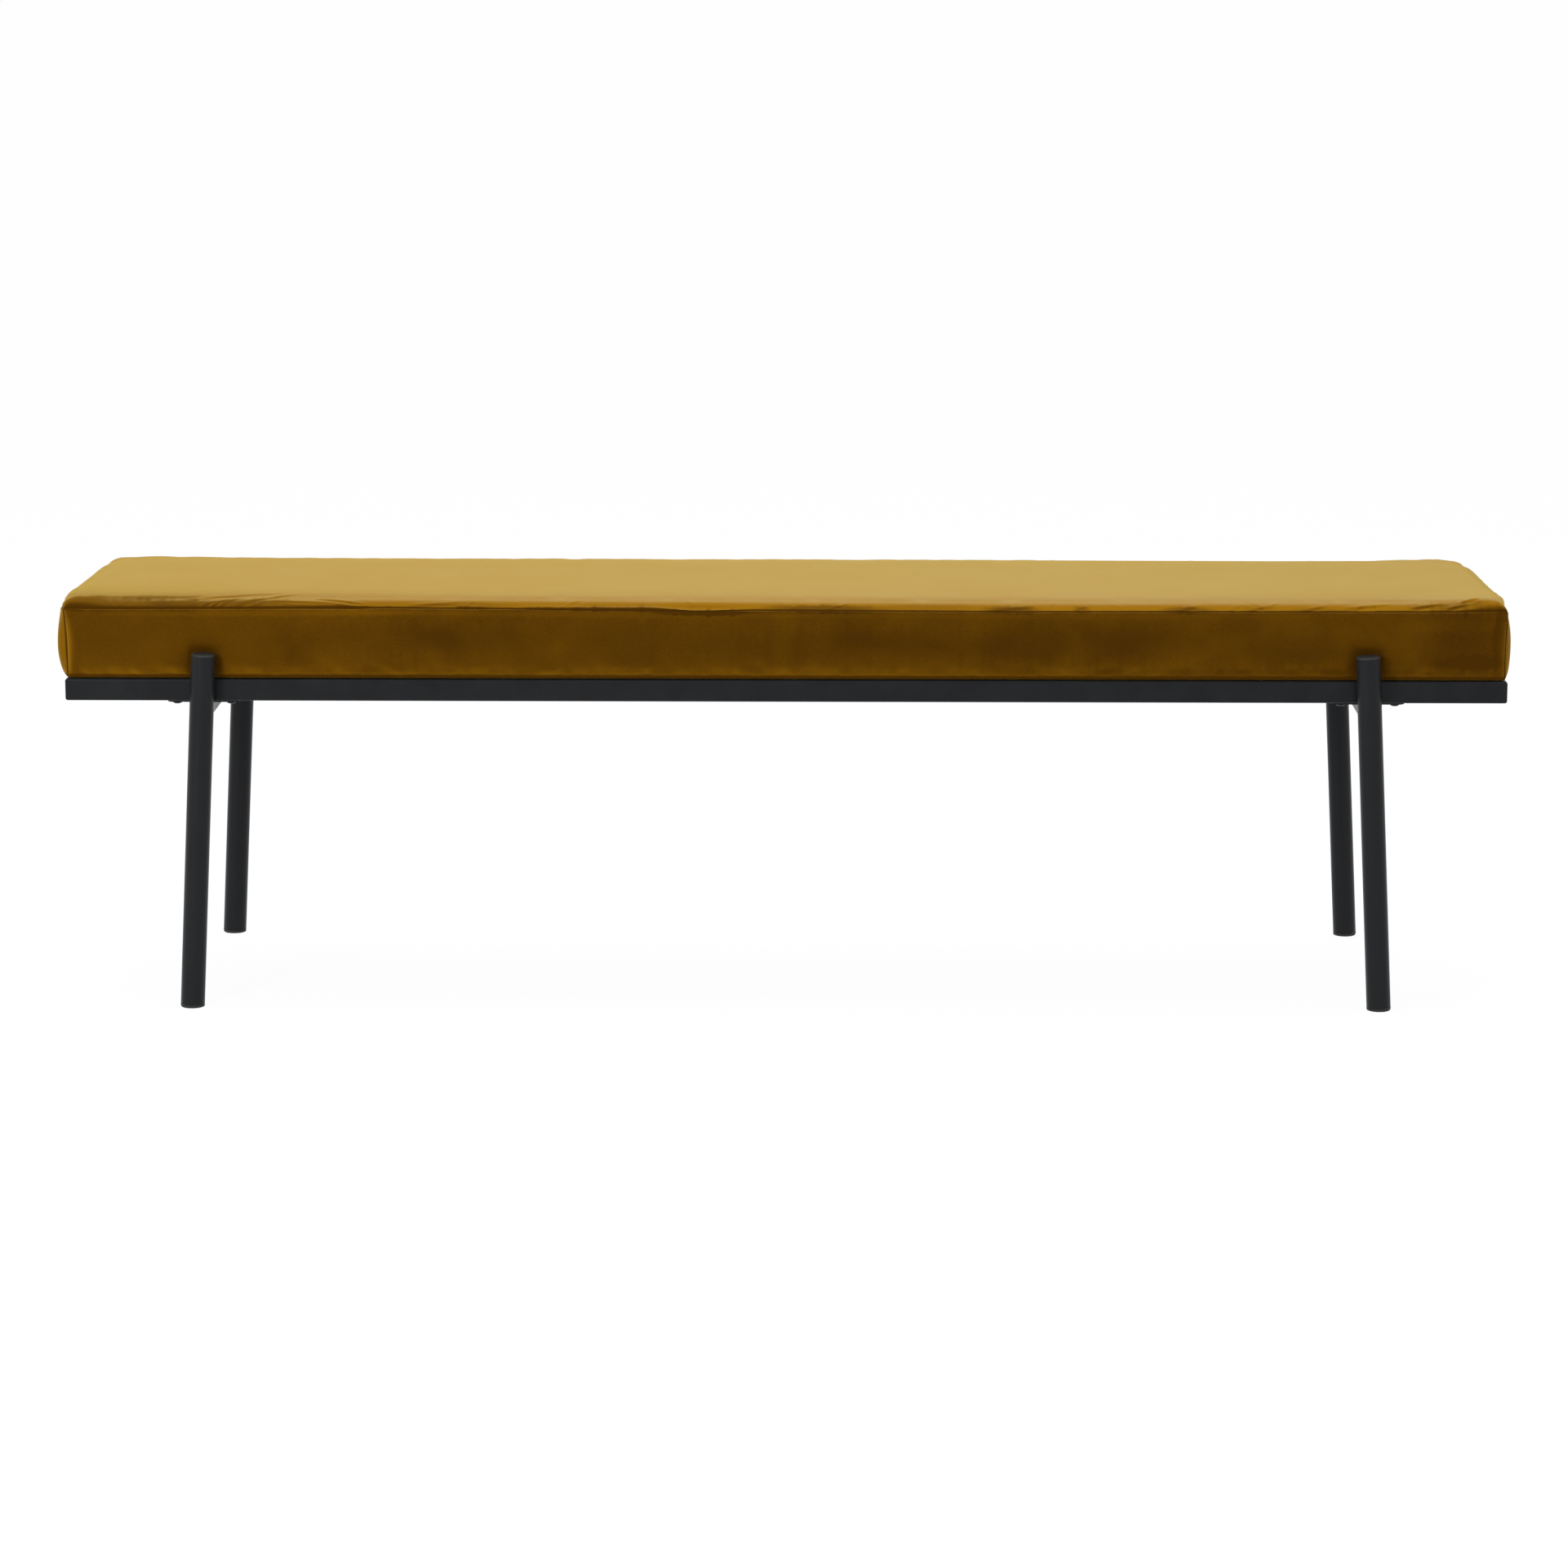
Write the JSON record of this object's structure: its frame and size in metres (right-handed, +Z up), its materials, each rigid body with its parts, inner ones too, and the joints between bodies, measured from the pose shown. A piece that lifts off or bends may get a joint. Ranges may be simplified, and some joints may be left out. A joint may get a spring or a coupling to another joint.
{
  "type": "upholstered bench",
  "caption": "Long upholstered bench: box cushion in ochre velvet on a black square tube frame, carried by round steel legs that lean outwards and rise beside the seat.",
  "frame": {"origin": "on the floor, under the middle of the seat", "axes": "+X along the bench to the right as seen from the front, +Y from front to back, +Z up"},
  "size_m": [1.613, 0.405, 0.46],
  "materials": {
    "frame_tube": "black satin powder coat on steel tube",
    "leg_tube": "black satin powder coat on round steel tube",
    "black_plastic": "moulded black polyethylene, fine matt surface",
    "zinc_steel": "zinc plated steel",
    "black_fastener": "black oxide steel",
    "plywood": "birch plywood, sanded, unfinished",
    "foam": "cut polyurethane foam, open cells",
    "wadding": "bonded polyester wadding",
    "velvet": "ochre cotton velvet, short dense pile with a strong sheen",
    "dust_cloth": "black non-woven dust cloth"
  },
  "bodies": {
    "root": {"front_rail": "frame_tube", "rear_rail": "frame_tube", "left_end_rail": "frame_tube", "right_end_rail": "frame_tube", "left_cross_rail": "frame_tube", "centre_cross_rail": "frame_tube", "right_cross_rail": "frame_tube", "left_leg_crossbar": "leg_tube", "front_left_leg": "leg_tube", "front_left_mounting_plate": "leg_tube", "rear_left_leg": "leg_tube", "rear_left_mounting_plate": "leg_tube", "right_leg_crossbar": "leg_tube", "front_right_leg": "leg_tube", "front_right_mounting_plate": "leg_tube", "rear_right_leg": "leg_tube", "rear_right_mounting_plate": "leg_tube", "leg_caps": "black_plastic", "foot_glides": "black_plastic", "leg_bolts": "black_fastener", "rivet_nuts": "zinc_steel", "seat_bolts": "black_fastener", "seat_t_nuts": "zinc_steel", "seat_board": "plywood", "dust_cover": "dust_cloth", "foam_block": "foam", "wadding": "wadding", "cover_top": "velvet", "cover_front": "velvet", "cover_rear": "velvet", "cover_left_end": "velvet", "cover_right_end": "velvet"}
  },
  "joints": []
}
